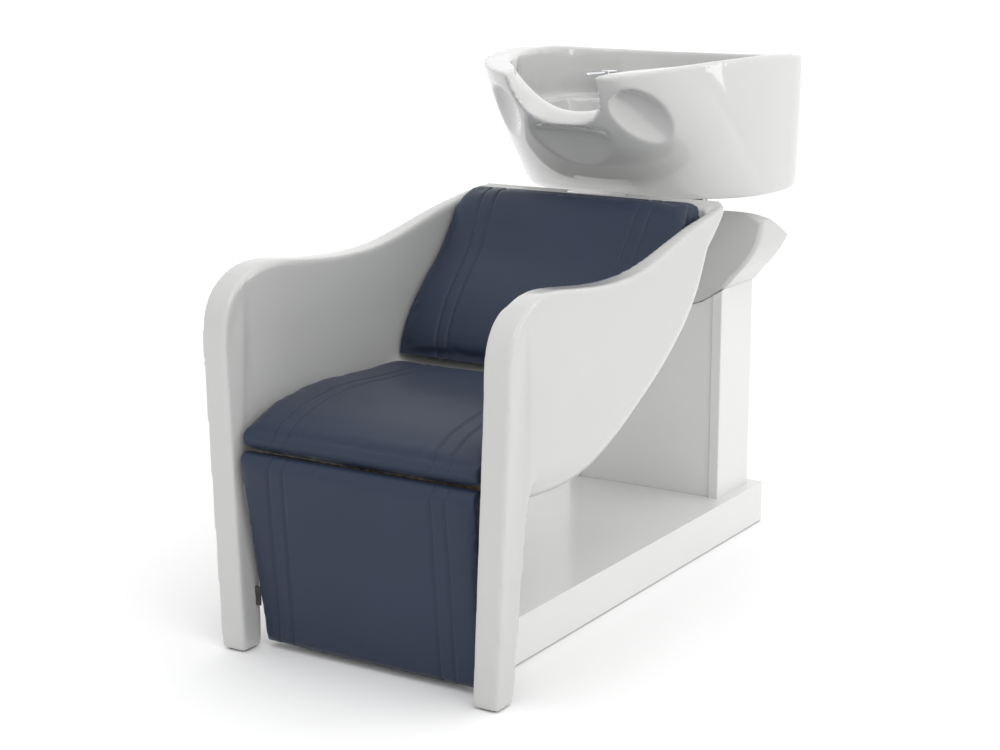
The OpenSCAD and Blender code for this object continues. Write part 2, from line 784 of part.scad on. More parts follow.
module mixer_lever()
  color(chrome)
    at_tap()
      difference() {
        translate([0, -17, pin_z])
          rotate([90, 0, 0]) {
            cylinder(r = 4.4, h = 50, $fn = 48);
            translate([0, 0, 50]) sphere(r = 4.4, $fn = 48);
          }
        translate([0, 0, cap_z - 1]) cylinder(r = 20, h = 20, $fn = 64);
      }

module spray_socket()
  color(chrome)
    translate([spray_x, spray_y, 0])
      difference() {
        union() {
          translate([0, 0, deck_z]) cylinder(r = 24, h = 4, $fn = 64);
          translate([0, 0, deck_under - 14]) cylinder(r = 17.4, h = 36, $fn = 64);
        }
        translate([0, 0, 840]) cylinder(r = 15.2, h = 60, $fn = 64);
      }

module hand_spray()
  color(chrome)
    translate([spray_x, spray_y, 0]) {
      translate([0, 0, 800]) cylinder(r = 14.6, h = 100, $fn = 64);
      translate([0, 0, deck_z + 4.3]) cylinder(r1 = 18, r2 = 23, h = 30, $fn = 64);
      translate([0, 0, deck_z + 34.2]) cylinder(r1 = 23, r2 = 20, h = 8, $fn = 64);
    }

// ---------- water supply ----------
module supply(x)
  translate([x, 1090, 0])
    difference() {
      union() {
        translate([0, 0, 30]) cylinder(r = 10.5, h = 20, $fn = 48);
        translate([0, 0, 50]) cylinder(r = 14, h = 12, $fn = 6);
        translate([0, 0, 60]) cylinder(r = 8, h = head_z + 10 - 60, $fn = 48);
        translate([0, 0, head_z + 8]) cylinder(r = 14, h = 12, $fn = 6);
        translate([0, 0, head_z - 12]) cylinder(r = 11.4, h = 34, $fn = 48);
      }
      translate([0, 0, 20]) cylinder(r = 5.5, h = head_z, $fn = 32);
    }
module supply_hot() color(steel) supply(-60);
module supply_cold() color(steel) supply(60);

// ---------- placement ----------
placed() seat_shell();
placed() leg_glides();
placed() shell_bolts();
placed() seat_cushion();
placed() seat_board();
placed() back_cushion();
placed() back_board();
placed() board_screws();
placed() front_panel();
placed() front_board();
placed() panel_brackets();
placed() label_tag();
placed() plinth_cover();
placed() base_rails();
placed() base_crossbars();
placed() anchor_plates();
placed() levelling_feet();
placed() pedestal_posts();
placed() pedestal_plate();
placed() column_posts();
placed() column_cheek_left();
placed() column_cheek_right();
placed() column_front_panel();
placed() column_rear_panel();
placed() column_screws();
placed() tilt_housing();
placed() housing_lid();
placed() tilt_head();
placed() tilt_ears();
placed() tilt_bushes();
placed() tilt_pins();
placed() basin_cradle();
placed() cradle_bolts();
placed() basin();
placed() waste_flange();
placed() waste_nut();
placed() strainer();
placed() waste_hose();
placed() waste_pipe();
placed() mixer_body();
placed() mixer_nut();
placed() mixer_turret();
placed() mixer_cap();
placed() mixer_lever();
placed() mixer_pin();
placed() spray_socket();
placed() hand_spray();
placed() supply_hot();
placed() supply_cold();
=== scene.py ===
import json
import math

import bpy
import numpy as np
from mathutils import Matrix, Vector
from mathutils.bvhtree import BVHTree


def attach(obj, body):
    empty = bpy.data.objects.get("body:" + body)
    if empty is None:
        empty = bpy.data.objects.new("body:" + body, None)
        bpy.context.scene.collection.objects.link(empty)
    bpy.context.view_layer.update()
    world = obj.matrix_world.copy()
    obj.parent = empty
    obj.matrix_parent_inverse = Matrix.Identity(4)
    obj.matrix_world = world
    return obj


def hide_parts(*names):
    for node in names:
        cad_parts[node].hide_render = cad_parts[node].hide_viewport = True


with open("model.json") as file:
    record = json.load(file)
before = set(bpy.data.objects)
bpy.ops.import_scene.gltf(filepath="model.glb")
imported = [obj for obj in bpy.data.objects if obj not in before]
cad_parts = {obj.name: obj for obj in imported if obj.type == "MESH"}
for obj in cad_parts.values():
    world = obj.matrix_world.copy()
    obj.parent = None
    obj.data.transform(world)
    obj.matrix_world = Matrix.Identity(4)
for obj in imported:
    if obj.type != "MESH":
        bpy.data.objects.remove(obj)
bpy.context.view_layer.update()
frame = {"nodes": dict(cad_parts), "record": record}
scene = bpy.context.scene
nodes = frame["nodes"]

# Shapes below are in millimetres, y counted from the front of the legs.
MM = 0.001
MID_Y = 637.0
ARM_HALF_W = 305.0
LEG_HALF_W = 283.0
SPLAY_TOP_Z = 526.0
SHELL_TAPER = 28.0
BACK_CORNER_R = 44.0
BASIN_A, BASIN_FRONT, BASIN_REAR = 275.0, 475.0, 184.0
BASIN_CY, BASIN_BOTTOM, RIM_Z, BASIN_E = 1091.0, 727.0, 988.7, 2.40
BASIN_E_REAR, SKIRT = 3.1, 10.0
BASIN_FOOT_A, BASIN_FOOT_FRONT, SKIRT_FRONT = 267.0, 240.0, 230.0
WASTE_HOLE_R = 26.0
SPRAY_X, SPRAY_Y, SPRAY_HOLE_R = 120.0, 1195.0, 17.6
DECK_Z = 880.0
COLUMN_FRONT, COLUMN_REAR = 1029.0, 1174.0


# ---------- camera and stage ----------
def make_camera():
    data = bpy.data.cameras.new("camera")
    data.lens = 71.05
    data.sensor_width = 36.0
    data.clip_end = 500
    cam = bpy.data.objects.new("camera", data)
    az, el = math.radians(31.8), math.radians(12.8)
    look = Vector((-math.sin(az) * math.cos(el), math.cos(az) * math.cos(el), -math.sin(el)))
    cam.location = (1.845, -3.1477, 1.230)
    cam.rotation_euler = look.to_track_quat("-Z", "Y").to_euler()
    scene.collection.objects.link(cam)
    scene.camera = cam


def area_light(name, place, aim, size, power):
    data = bpy.data.lights.new(name, "AREA")
    data.shape = "RECTANGLE"
    data.size, data.size_y = size
    data.energy = power
    o = bpy.data.objects.new(name, data)
    o.location = place
    o.rotation_euler = (Vector(aim) - Vector(place)).to_track_quat("-Z", "Y").to_euler()
    scene.collection.objects.link(o)


def sun_light(name, towards, strength, angle):
    data = bpy.data.lights.new(name, "SUN")
    data.energy = strength
    data.angle = math.radians(angle)
    o = bpy.data.objects.new(name, data)
    o.rotation_euler = (-Vector(towards)).to_track_quat("-Z", "Y").to_euler()
    scene.collection.objects.link(o)


def studio_world(nt):
    """Soft white tent, brighter overhead and to the right than in front."""
    back = nt.nodes["Background"]
    back.inputs["Color"].default_value = (1, 1, 1, 1)
    tex = nt.nodes.new("ShaderNodeTexCoord")
    dot = nt.nodes.new("ShaderNodeVectorMath")
    dot.operation = "DOT_PRODUCT"
    dot.inputs[1].default_value = (0.57, 0.32, 0.76)
    nt.links.new(tex.outputs["Generated"], dot.inputs[0])
    span = nt.nodes.new("ShaderNodeMapRange")
    span.inputs["From Min"].default_value = -1
    span.inputs["To Min"].default_value = 0.82
    span.inputs["To Max"].default_value = 1.22
    nt.links.new(dot.outputs["Value"], span.inputs["Value"])
    nt.links.new(span.outputs["Result"], back.inputs["Strength"])


# ---------- curves ----------
def cr(points, u):
    """Catmull-Rom points at the parameters u (0 to 1) along a list of points."""
    p = np.asarray(points, float)
    n = len(p) - 1
    s = np.clip(np.atleast_1d(np.asarray(u, float)) * n, 0, n - 1e-6)
    i = np.floor(s).astype(int)
    t = (s - i)[:, None]
    a, b, c, d = p[np.maximum(i - 1, 0)], p[i], p[i + 1], p[np.minimum(i + 2, n)]
    return 0.5 * (2 * b + (c - a) * t + (2 * a - 5 * b + 4 * c - d) * t ** 2
                  + (3 * b - a - 3 * c + d) * t ** 3)


def side_of(points, u):
    u = np.atleast_1d(np.asarray(u, float))
    d = cr(points, np.minimum(u + 0.01, 1)) - cr(points, np.maximum(u - 0.01, 0))
    d /= np.linalg.norm(d, axis=1)[:, None]
    return np.stack([-d[:, 1], d[:, 0]], 1)


def resample(points, step):
    """Points at equal steps along a smooth curve through the given ones."""
    fine = cr(points, np.linspace(0, 1, 40 * len(points)))
    s = np.concatenate([[0], np.cumsum(np.linalg.norm(np.diff(fine, axis=0), axis=1))])
    want = np.linspace(0, s[-1], max(3, int(s[-1] / step)))
    return np.stack([np.interp(want, s, fine[:, k]) for k in range(fine.shape[1])], 1)


def mix(a, b, t):
    return a + (b - a) * t


def clamp01(t):
    return np.clip(t, 0, 1)


# ---------- mesh tools ----------
def new_mesh(name, verts, faces, smooth=True):
    """verts are in millimetres from the legs' front; the object is in metres in the row frame."""
    v = (np.asarray(verts, float) - [0, MID_Y, 0]) * MM
    me = bpy.data.meshes.new(name)
    me.from_pydata(v.tolist(), [], faces)
    me.validate()
    me.update()
    for p in me.polygons:
        p.use_smooth = smooth
    o = bpy.data.objects.new(name, me)
    scene.collection.objects.link(o)
    return o


def loft(name, rings):
    """Closed solid through rings of equal length, with flat caps."""
    rings = [np.asarray(r, float) for r in rings]
    n, m = len(rings[0]), len(rings)
    faces = [(j * n + i, j * n + (i + 1) % n, (j + 1) * n + (i + 1) % n, (j + 1) * n + i)
             for j in range(m - 1) for i in range(n)]
    faces.append(tuple(range(n - 1, -1, -1)))
    faces.append(tuple((m - 1) * n + i for i in range(n)))
    o = new_mesh(name, np.concatenate(rings), faces)
    outward(o)
    return o


def slab(name, outline, x0, x1, weights=None):
    """Solid between two x surfaces over a [y, z] outline. x0 and x1 are functions of (y, z)."""
    q = np.asarray(outline, float)
    a = np.stack([x0(q[:, 0], q[:, 1]), q[:, 0], q[:, 1]], 1)
    b = np.stack([x1(q[:, 0], q[:, 1]), q[:, 0], q[:, 1]], 1)
    o = loft(name, [a, b])
    if weights:
        n = len(q)
        w = o.data.attributes.new("bevel_weight_edge", "FLOAT", "EDGE")
        for e in o.data.edges:
            i, j = e.vertices
            if (i < n) == (j < n):
                w.data[e.index].value = weights[0] if i < n else weights[1]
    return o


def outward(o):
    import bmesh
    bm = bmesh.new()
    bm.from_mesh(o.data)
    bmesh.ops.recalc_face_normals(bm, faces=bm.faces)
    if bm.calc_volume(signed=True) < 0:
        bmesh.ops.reverse_faces(bm, faces=bm.faces)
    bm.to_mesh(o.data)
    bm.free()


def bake(o):
    """Applies every modifier of o."""
    dg = bpy.context.evaluated_depsgraph_get()
    dg.update()
    me = bpy.data.meshes.new_from_object(o.evaluated_get(dg))
    o.modifiers.clear()
    old = o.data
    o.data = me
    bpy.data.meshes.remove(old)
    me.name = o.name
    for p in me.polygons:
        p.use_smooth = True
    return o


def bevel(o, width, segments=4, angle=50):
    m = o.modifiers.new("bevel", "BEVEL")
    m.width = width * MM
    m.segments = segments
    m.limit_method = "ANGLE"
    m.angle_limit = math.radians(angle)
    return o


def boolean(o, other, how="DIFFERENCE", drop=True):
    m = o.modifiers.new("boolean", "BOOLEAN")
    m.operation = how
    m.solver = "EXACT"
    m.object = other
    bake(o)
    if drop:
        bpy.data.objects.remove(other)
    return o


def remesh(o, voxel, smooth=0, factor=0.5):
    m = o.modifiers.new("remesh", "REMESH")
    m.mode = "VOXEL"
    m.voxel_size = voxel * MM
    m.use_smooth_shade = True
    if smooth:
        s = o.modifiers.new("smooth", "SMOOTH")
        s.iterations = smooth
        s.factor = factor
    return bake(o)


def coords(me):
    v = np.empty(len(me.vertices) * 3)
    me.vertices.foreach_get("co", v)
    return v.reshape(-1, 3)


def set_coords(me, v):
    me.vertices.foreach_set("co", np.asarray(v, float).ravel())
    me.update()


def normals(me):
    n = np.empty(len(me.vertices) * 3)
    me.vertex_normals.foreach_get("vector", n)
    return n.reshape(-1, 3)


def cylinder(name, x, y, z0, z1, r, n=48):
    a = np.linspace(0, 2 * math.pi, n, endpoint=False)
    ring = np.stack([x + r * np.cos(a), y + r * np.sin(a), np.zeros(n)], 1)
    return loft(name, [ring + [0, 0, z0], ring + [0, 0, z1]])


# ---------- materials ----------
def material(name, color, rough, metallic=0.0, coat=0.0, coat_rough=0.05, specular=0.5, ior=1.5,
             tint=0.06, tint_scale=6.0, bump=0.1, bump_scale=60.0, rough_spread=0.05,
             detail=3.0, sheen=0.0, sheen_rough=0.5, kind="noise", bump_dist=0.0005, stretch=None):
    """Principled material with its colour, roughness and relief broken up by noise in object space."""
    mat = bpy.data.materials.new(name)
    mat.use_nodes = True
    nt = mat.node_tree
    bsdf = nt.nodes["Principled BSDF"]
    bsdf.inputs["Metallic"].default_value = metallic
    bsdf.inputs["IOR"].default_value = ior
    bsdf.inputs["Specular IOR Level"].default_value = specular
    bsdf.inputs["Coat Weight"].default_value = coat
    bsdf.inputs["Coat Roughness"].default_value = coat_rough
    bsdf.inputs["Sheen Weight"].default_value = sheen
    bsdf.inputs["Sheen Roughness"].default_value = sheen_rough
    tex = nt.nodes.new("ShaderNodeTexCoord")
    source = tex.outputs["Object"]
    if stretch:
        mp = nt.nodes.new("ShaderNodeMapping")
        mp.inputs["Scale"].default_value = stretch
        nt.links.new(source, mp.inputs["Vector"])
        source = mp.outputs["Vector"]
    broad = nt.nodes.new("ShaderNodeTexNoise")
    broad.inputs["Scale"].default_value = tint_scale
    broad.inputs["Detail"].default_value = 4
    nt.links.new(source, broad.inputs["Vector"])
    ramp = nt.nodes.new("ShaderNodeValToRGB")
    lo = [max(0, c * (1 - tint)) for c in color]
    hi = [min(1, c * (1 + tint)) for c in color]
    ramp.color_ramp.elements[0].position = 0.3
    ramp.color_ramp.elements[1].position = 0.7
    ramp.color_ramp.elements[0].color = (*lo, 1)
    ramp.color_ramp.elements[1].color = (*hi, 1)
    nt.links.new(broad.outputs["Fac"], ramp.inputs["Fac"])
    nt.links.new(ramp.outputs["Color"], bsdf.inputs["Base Color"])
    mr = nt.nodes.new("ShaderNodeMapRange")
    mr.inputs["To Min"].default_value = max(0.02, rough - rough_spread)
    mr.inputs["To Max"].default_value = rough + rough_spread
    nt.links.new(broad.outputs["Fac"], mr.inputs["Value"])
    nt.links.new(mr.outputs["Result"], bsdf.inputs["Roughness"])
    fine = nt.nodes.new("ShaderNodeTexNoise")
    fine.inputs["Scale"].default_value = bump_scale
    fine.inputs["Detail"].default_value = detail
    nt.links.new(source, fine.inputs["Vector"])
    height = fine.outputs["Fac"]
    if kind == "leather":
        cells = nt.nodes.new("ShaderNodeTexVoronoi")
        cells.feature = "DISTANCE_TO_EDGE"
        cells.inputs["Scale"].default_value = bump_scale
        nt.links.new(source, cells.inputs["Vector"])
        edge = nt.nodes.new("ShaderNodeMapRange")
        edge.inputs["From Max"].default_value = 0.18
        nt.links.new(cells.outputs["Distance"], edge.inputs["Value"])
        both = nt.nodes.new("ShaderNodeMath")
        both.operation = "MULTIPLY_ADD"
        both.inputs[1].default_value = 0.7
        nt.links.new(edge.outputs["Result"], both.inputs[0])
        nt.links.new(fine.outputs["Fac"], both.inputs[2])
        height = both.outputs["Value"]
        fine.inputs["Scale"].default_value = bump_scale * 0.35
    if kind == "wood":
        wave = nt.nodes.new("ShaderNodeTexWave")
        wave.inputs["Scale"].default_value = 14
        wave.inputs["Distortion"].default_value = 6
        wave.inputs["Detail"].default_value = 3
        nt.links.new(source, wave.inputs["Vector"])
        nt.links.new(wave.outputs["Fac"], ramp.inputs["Fac"])
    if kind == "weave":
        wave = nt.nodes.new("ShaderNodeTexWave")
        wave.inputs["Scale"].default_value = bump_scale
        wave.bands_direction = "Z"
        wave.inputs["Distortion"].default_value = 0.4
        nt.links.new(source, wave.inputs["Vector"])
        height = wave.outputs["Fac"]
    b = nt.nodes.new("ShaderNodeBump")
    b.inputs["Strength"].default_value = bump
    b.inputs["Distance"].default_value = bump_dist
    nt.links.new(height, b.inputs["Height"])
    nt.links.new(b.outputs["Normal"], bsdf.inputs["Normal"])
    return mat


MATS = {
    # One white plastic in two copies: this shell copy is painted darker to hold back the strong light on
    # the shell's sides (painted shade)
    "white_moulding": material("white_moulding", (0.50, 0.50, 0.492), 0.16, coat=0.5, coat_rough=0.06,
                               tint=0.012, bump=0.05, bump_scale=40, rough_spread=0.03),
    # Brighter copy of the same white plastic: painted light that lifts the plinth and column parts sitting
    # in the shade under the chair
    "white_moulding_painted_lighter": material("white_moulding_painted_lighter", (0.66, 0.66, 0.652), 0.24, coat=0.25, coat_rough=0.12,
                            tint=0.012, bump=0.06, bump_scale=70, rough_spread=0.04),
    "glazed_ceramic": material("glazed_ceramic", (0.53, 0.53, 0.523), 0.10, coat=1.0, coat_rough=0.03,
                               tint=0.01, bump=0.06, bump_scale=14, rough_spread=0.02),
    "leatherette": material("leatherette", (0.020, 0.030, 0.056), 0.42, specular=0.26, tint=0.07,
                            tint_scale=5, kind="leather", bump=0.35, bump_scale=650, bump_dist=0.0003,
                            rough_spread=0.05, sheen=0.04, sheen_rough=0.4),
    "thread": material("thread", (0.022, 0.028, 0.048), 0.6, tint=0.15, tint_scale=90, kind="weave",
                       bump=0.5, bump_scale=900, sheen=0.2),
    "tag_fabric": material("tag_fabric", (0.030, 0.030, 0.034), 0.75, tint=0.2, tint_scale=200,
                           kind="weave", bump=0.6, bump_scale=700, sheen=0.2),
    "plywood": material("plywood", (0.50, 0.36, 0.20), 0.55, tint=0.25, kind="wood",
                        bump=0.2, bump_scale=120, stretch=(1, 0.15, 1)),
    "frame_steel": material("frame_steel", (0.035, 0.037, 0.040), 0.42, tint=0.12, bump=0.25,
                            bump_scale=260, rough_spread=0.06),
    "zinc_steel": material("zinc_steel", (0.55, 0.56, 0.58), 0.32, metallic=1.0, tint=0.08, bump=0.15,
                           bump_scale=300, rough_spread=0.08),
    "black_rubber": material("black_rubber", (0.018, 0.018, 0.020), 0.70, tint=0.15, bump=0.3,
                             bump_scale=300, rough_spread=0.08),
    "bush_brass": material("bush_brass", (0.62, 0.42, 0.17), 0.28, metallic=1.0, tint=0.08, bump=0.1,
                           bump_scale=240),
    "chrome": material("chrome", (0.72, 0.73, 0.75), 0.07, metallic=1.0, tint=0.02, bump=0.02,
                       bump_scale=50, rough_spread=0.03),
    "pipe_plastic": material("pipe_plastic", (0.62, 0.62, 0.60), 0.45, tint=0.04, bump=0.15,
                             bump_scale=160),
    "floor": material("floor", (0.90, 0.90, 0.90), 0.85, tint=0.004, bump=0.05, bump_scale=8,
                      specular=0.1),
}


def paint(o, mat):
    o.data.materials.clear()
    o.data.materials.append(MATS[mat])


def keep_node(name, mat, width=0.0, segments=2):
    """A CAD node that stays: its material, softened edges and clean shading."""
    o = nodes[name]
    while len(o.material_slots) < 1:
        o.data.materials.append(None)
    for s in o.material_slots:
        s.material = MATS[mat]
    if width:
        w = o.modifiers.new("weld", "WELD")
        w.merge_threshold = 1e-5
        bevel(o, width, segments, 35)
        n = o.modifiers.new("normals", "WEIGHTED_NORMAL")
        n.keep_sharp = False


# ---------- seat shell ----------
UNDER = [(72, 330), (110, 321), (170, 315), (235, 313), (310, 322), (393, 347), (477, 385),
         (563, 429), (625, 468), (680, 510), (725, 556), (762, 614), (790, 664), (813, 704),
         (828, 722)]
ARM_TOP = [(60, 655), (95, 666), (130, 669), (170, 667), (230, 660), (300, 653), (370, 650),
           (440, 652), (510, 662), (590, 680), (670, 698), (750, 712), (800, 720), (836, 729)]
LEG_FOOT = [(51, 5), (48, 2), (4, 2), (1, 5), (0, 12), (0, 120), (0, 240), (0, 360), (0, 480)]
LEG_TOP = [(0, 520), (0, 552), (3, 580), (11, 606), (24, 627), (42, 643), (66, 656), (95, 665), (130, 669)]
LEG_REAR = [(150, 640), (150, 440), (120, 400), (92, 372), (79, 348), (72, 310), (63, 180), (57, 90),
            (53, 14)]


def half_w(y, z):
    t = clamp01((y - 798) / BACK_CORNER_R)
    return (mix(LEG_HALF_W, ARM_HALF_W, clamp01(z / SPLAY_TOP_Z))
            - SHELL_TAPER * clamp01((y - 150) / 690) ** 1.5 - BACK_CORNER_R * (1 - np.sqrt(1 - t * t)))


def band(y):
    return mix(50.0, 28.0, clamp01((y - 150) / 600))


def bucket_ring(b, t, inset, r0, edge, flare=0.0, above=0.0):
    """U-shaped ring from the floor point b to the top point t. flare rounds the arm's inner edge."""
    h = float(np.linalg.norm(t - b))
    d = (t - b) / h
    r = min(r0, 0.62 * h)
    e = max(0.01, min(edge, 0.3 * h))
    corner = [(-r + r * math.cos(a), r + r * math.sin(a)) for a in np.radians(np.arange(-90, 1, 6))]
    wall = [(0.0, mix(r, h - e, k / 10)) for k in range(1, 10) if h - e > r + 1]
    top = [(-e + e * math.cos(a), h - e + e * math.sin(a)) for a in np.radians(np.arange(0, 91, 10))]
    if flare:
        lip = h - above
        wall = [(0.0, mix(r, lip - flare, k / 10)) for k in range(1, 11)]
        top = [(flare - flare * math.cos(a), lip - flare + flare * math.sin(a))
               for a in np.radians(np.arange(10, 91, 10))] + [(flare + 0.5, h)]
    q = np.array(corner + wall + top)
    p = b + d * q[:, 1:2]
    x = half_w(p[:, 0], p[:, 1]) - inset(p[:, 0]) + q[:, 0]
    right = np.stack([x, p[:, 0], p[:, 1]], 1)
    left = right[::-1] * [-1, 1, 1]
    # Extra points across the floor and the opening keep the faces small
    across = np.linspace(0, 1, 14)[1:-1, None]
    return np.concatenate([right, right[-1] * (1 - across) + left[0] * across, left,
                           left[-1] * (1 - across) + right[0] * across])


def make_shell():
    steps = 110
    u = np.linspace(0, 1, steps)
    under, top = cr(UNDER, u), cr(ARM_TOP, u)
    outer = loft("seat_shell_visual",
                 [bucket_ring(under[i], top[i], lambda y: 0 * y, 64, 5) for i in range(steps)])
    floor = under + side_of(UNDER, u) * mix(12, 24, u * u)[:, None]
    roof = top + np.stack([-26 * u, mix(60, 50, u)], 1)
    # The cut runs a little into the arms, so that no two faces coincide
    rings = [bucket_ring(floor[0] + [-60, 0], roof[0] + [-60, 0], lambda y: band(y) + 8, 26, 0,
                         flare=13, above=60.0)]
    rings += [bucket_ring(floor[i], roof[i], lambda y: band(y) - 0.5, 26, 0, flare=13,
                          above=float(np.hypot(26 * u[i], mix(60, 50, u[i])))) for i in range(steps)]
    inner = loft("inner", rings)
    outline = np.concatenate([LEG_FOOT, resample(LEG_TOP, 5), LEG_REAR])
    for s in (1, -1):
        leg = slab("leg", outline, lambda y, z: s * (half_w(y, z) - band(y)),
                   lambda y, z: s * half_w(y, z), weights=(1.0, 0.3))
        bevel(leg, 16, 7).modifiers[0].limit_method = "WEIGHT"
        bake(leg)
        boolean(outer, leg, "UNION")
    boolean(outer, inner)
    remesh(outer, 4.0, 9)
    paint(outer, "white_moulding")
    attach(outer, "base")
    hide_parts("seat_shell")


# ---------- basin ----------
# z, half width, reach to the front and to the rear, roundness
BOWL = [(757, 90, 110, 34, 2.1), (759, 130, 165, 46, 2.2), (764, 160, 205, 56, 2.25),
        (776, 186, 232, 60, 2.3), (810, 208, 258, 62, 2.3), (850, 222, 286, 64, 2.3),
        (880, 230, 304, 65, 2.3), (900, 235, 318, 66, 2.3), (922, 239, 342, 66, 2.3),
        (945, 242, 372, 67, 2.3), (970, 246, 396, 67, 2.3), (1000, 249, 404, 67, 2.3),
        (1040, 251, 408, 67, 2.3)]
# z, half width, reach to the front and to the rear
DECK = [(DECK_Z, 246, 300, 158), (DECK_Z + 12, 252, 330, 166), (1040, 260, 346, 170)]
# y, half width at the horns' height, lowest z, steepness of the sides
NECK = [(540, 86, 836, 4.4), (590, 89, 838, 4.4), (628, 93, 842, 4.2), (655, 98, 849, 3.9),
        (675, 103, 859, 3.6), (688, 107, 869, 3.2), (698, 112, 879, 3.0), (708, 117, 886, 2.8),
        (722, 124, 891, 2.6), (738, 133, 892, 2.4), (758, 146, 889, 2.3), (790, 170, 882, 2.2)]
NECK_TOP_Z = 963.0
# z, half width, y of the back surface
HOLLOW = [(770, 60, 792), (778, 92, 787), (790, 112, 779), (808, 122, 768), (826, 127, 756),
          (842, 127, 744), (854, 122, 733), (862, 112, 722), (867, 96, 708)]
HOLLOW_Y = 640.0


def level(z):
    """Flat height for plan_ring."""
    return lambda y: z + 0 * y


def rim_at(y):
    t = (y - BASIN_CY) / 300
    return RIM_Z - 15.4 * t - 19.67 * t * t


def plan_ring(a, bf, br, e, z, n=128, rear_e=0.0):
    t = np.linspace(0, 2 * math.pi, n, endpoint=False)
    s, c = np.sin(t), np.cos(t)
    k = np.where(s > 0, 2 / max(e, rear_e), 2 / e)
    s, c = np.sign(s) * abs(s) ** k, np.sign(c) * abs(c) ** k
    y = BASIN_CY + np.where(s > 0, br, bf) * s
    return np.stack([a * c, y, z(y)], 1)


def lean(f):
    return 1.4 * f - 0.4 * f * f


def wall_ring(f, inset):
    return plan_ring(mix(BASIN_FOOT_A, BASIN_A, math.sqrt(f)) - inset,
                     mix(BASIN_FOOT_FRONT, BASIN_FRONT, lean(f)) - inset,
                     BASIN_REAR - inset, BASIN_E,
                     lambda y: BASIN_BOTTOM + (rim_at(y) - BASIN_BOTTOM) * f, rear_e=BASIN_E_REAR)


def skirt_ring(inset, up):
    return plan_ring(BASIN_FOOT_A - inset, SKIRT_FRONT - inset, BASIN_REAR - inset, BASIN_E,
                     level(BASIN_BOTTOM - SKIRT + up), rear_e=BASIN_E_REAR)


def ellipsoid(name, centre, axes):
    """axes are the three half-axis vectors."""
    rings = []
    t = np.linspace(0, 2 * math.pi, 64, endpoint=False)[:, None]
    a, b, c = (np.array(v, float) for v in axes)
    for w in np.radians(np.linspace(-86, 86, 32)):
        rings.append(np.array(centre) + c * math.sin(w) + math.cos(w) * (a * np.cos(t) + b * np.sin(t)))
    return loft(name, rings)


def neck_recess():
    """Cutter that is steep at the horns, rolled over at the lip, and wide at the bowl."""
    rows = []
    for y, w, z0, p in cr(NECK, np.linspace(0, 1, 45)):
        t = np.linspace(-1.25, 1.25, 90)
        low = np.stack([w * t, z0 + (NECK_TOP_Z - z0) * abs(t) ** p], 1)
        low[:, 1] = np.minimum(low[:, 1], 1100 - 0.01 * np.arange(90))
        ring = np.concatenate([low, [[w * 1.25, 1200], [-w * 1.25, 1200]]])
        rows.append(np.stack([ring[:, 0], np.full(len(ring), y), ring[:, 1]], 1))
    return loft("neck", rows)


def shoulder_hollow():
    """Cutter for the shoulders' room under the lip, dying out towards the bottom."""
    rows = []
    for z, a, back in HOLLOW:
        t = np.linspace(0, 2 * math.pi, 96, endpoint=False)
        s, c = np.sin(t), np.cos(t)
        x = a * np.sign(c) * abs(c) ** 0.8
        y = HOLLOW_Y + (back - HOLLOW_Y) * np.sign(s) * abs(s) ** 0.8
        rows.append(np.stack([x, y, np.full(96, float(z))], 1))
    return loft("scoop", rows)


def shoulder_dish(side):
    """Long ellipsoid cutter that leaves a shallow dish in one front shoulder."""
    run = np.array([side * 0.50, 0.56, -0.66])
    out = np.array([side * 0.50, -0.72, -0.48])
    run /= np.linalg.norm(run)
    out -= run * (out @ run)
    out /= np.linalg.norm(out)
    across = np.cross(run, out)
    centre = np.array([side * 168.0, 747, 862]) + out * 12
    return ellipsoid("dish", centre, (across * 50, run * 116, out * 32))


def make_basin():
    body = loft("basin_visual", [skirt_ring(7, 0), skirt_ring(2, 1.5), skirt_ring(0, 5), wall_ring(0, 0)]
                + [wall_ring(f, 0) for f in np.arange(0.045, 0.97, 0.045)]
                + [wall_ring(0.985, 0.3), wall_ring(1, 2)])
    fine = cr(BOWL, np.linspace(0, 1, 60))
    bowl = loft("bowl", [plan_ring(q[1], q[2], q[3], q[4], level(q[0])) for q in fine])
    deck = loft("deck", [plan_ring(a, front, rear, 2.4, level(z)) for z, a, front, rear in DECK])
    boolean(body, bowl)
    boolean(body, deck)
    boolean(body, neck_recess())
    boolean(body, shoulder_hollow())
    for side in (1, -1):
        boolean(body, shoulder_dish(side))
    remesh(body, 3.5, 14)
    boolean(body, cylinder("waste", 0, BASIN_CY, 700, 790, WASTE_HOLE_R))
    boolean(body, cylinder("spray_hole", SPRAY_X, SPRAY_Y, 800, 900, SPRAY_HOLE_R))
    paint(body, "glazed_ceramic")
    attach(body, "basin_unit")
    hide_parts("basin")


# ---------- tilt housing ----------
DRUM = [(0, 466), (45, 469), (85, 477), (127, 492), (172, 519), (195, 545), (215, 567), (232, 590),
        (243, 608), (251, 628), (256, 648), (258, 666)]


def roof_z(y):
    return 681 - 0.42 * (y - COLUMN_FRONT)


def drum_ring(y, k):
    p = resample(DRUM, 6)
    p = np.concatenate([p, [[204, 700]]])
    p = np.stack([p[:, 0] * (1 - k / 250), 590 + (p[:, 1] - 590) * (1 - k / 105)], 1)
    p = np.concatenate([p, (p * [-1, 1])[:0:-1]])
    return np.stack([p[:, 0], np.full(len(p), float(y)), p[:, 1]], 1)


def cutter(name, lo, hi):
    x0, y0, z0 = lo
    x1, y1, z1 = hi
    a = [(x0, y0, z0), (x1, y0, z0), (x1, y1, z0), (x0, y1, z0)]
    return loft(name, [np.array(a, float), np.array([(x, y, z1) for x, y, _ in a], float)])


def above_roof(name, drop, half=330):
    q = [(1000, roof_z(1000) - drop), (1210, roof_z(1210) - drop), (1210, 800), (1000, 800)]
    return slab(name, q, lambda y, z: -half + 0 * y, lambda y, z: half + 0 * y)


